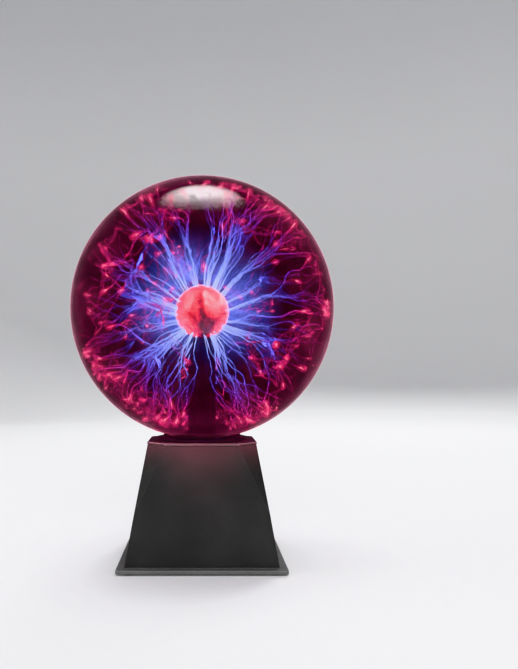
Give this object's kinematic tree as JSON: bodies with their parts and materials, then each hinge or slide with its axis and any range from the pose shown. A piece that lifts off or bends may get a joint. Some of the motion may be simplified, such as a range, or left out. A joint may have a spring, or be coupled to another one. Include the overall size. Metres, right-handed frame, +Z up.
{
  "type": "plasma ball",
  "caption": "Sealed glass globe with a round electrode on a black stalk, standing on a tapered square base with a wider base plate, a DC inlet and a rocker switch at the back.",
  "frame": {"origin": "on the surface the object stands on, under the middle of the globe", "axes": "+Z up through the globe; the front faces -Y; the inlet and switch are at +Y"},
  "size_m": [0.2, 0.2, 0.2875],
  "materials": {
    "globe_glass": "polished, smoked clear",
    "clear_glass": "polished, clear",
    "electrode_glass": "polished, lit from the discharge",
    "steel_wool": "fine fibres",
    "sleeve_black": "satin",
    "collar_plastic": "satin",
    "housing_plastic": "fine matt moulding texture",
    "plate_plastic": "satin",
    "rubber": "matt",
    "silicone": "satin, translucent",
    "steel": "zinc plated",
    "brass": "tinned contact metal",
    "aluminium": "extruded",
    "board": "solder resist",
    "ferrite": "fired ceramic, matt",
    "winding_tape": "taped and potted",
    "copper_wire": "enamelled wire",
    "component_plastic": "moulded",
    "rocker_plastic": "moulded, satin",
    "capacitor_sleeve": "shrink sleeve",
    "insulation_red": "PVC",
    "insulation_black": "PVC",
    "insulation_white": "silicone insulation"
  },
  "bodies": {
    "base": {"glass_globe": "globe_glass", "glass_neck": "clear_glass", "glass_stem": "clear_glass", "electrode_bulb": "electrode_glass", "electrode_wool": "steel_wool", "stalk_sleeve": "sleeve_black", "seat_gasket": "rubber", "collar_ring": "collar_plastic", "neck_sealant_bead": "silicone", "neck_boot": "silicone", "body_housing": "housing_plastic", "top_plate": "housing_plastic", "base_plate": "plate_plastic", "foot_front_left": "rubber", "base_screw_front_left": "steel", "foot_front_right": "rubber", "base_screw_front_right": "steel", "foot_rear_left": "rubber", "base_screw_rear_left": "steel", "foot_rear_right": "rubber", "base_screw_rear_right": "steel", "circuit_board": "board", "board_screw_1": "steel", "board_screw_2": "steel", "board_screw_3": "steel", "board_screw_4": "steel", "transformer_core": "ferrite", "secondary_winding": "winding_tape", "primary_winding": "copper_wire", "heat_sink": "aluminium", "switching_transistor": "component_plastic", "heat_sink_screw": "steel", "reservoir_capacitor": "capacitor_sleeve", "timing_capacitor": "component_plastic", "oscillator_chip": "component_plastic", "microphone_capsule": "aluminium", "inlet_jack": "component_plastic", "inlet_pin": "brass", "inlet_nut": "steel", "switch_housing": "component_plastic", "switch_terminal_sound": "brass", "switch_terminal_common": "brass", "switch_terminal_on": "brass", "supply_lead_positive": "insulation_red", "supply_lead_negative": "insulation_black", "switch_lead_sound": "insulation_white", "switch_lead_common": "insulation_red", "switch_lead_on": "insulation_black", "high_voltage_lead": "insulation_white"},
    "rocker": {"mode_rocker": "rocker_plastic"}
  },
  "joints": [
    {"name": "rocker_tilt", "type": "hinge", "parent": "base", "child": "rocker", "pos_m": [0.017, 0.04948, 0.03008], "axis": [1, 0, 0], "range_deg": [-11, 11]}
  ]
}
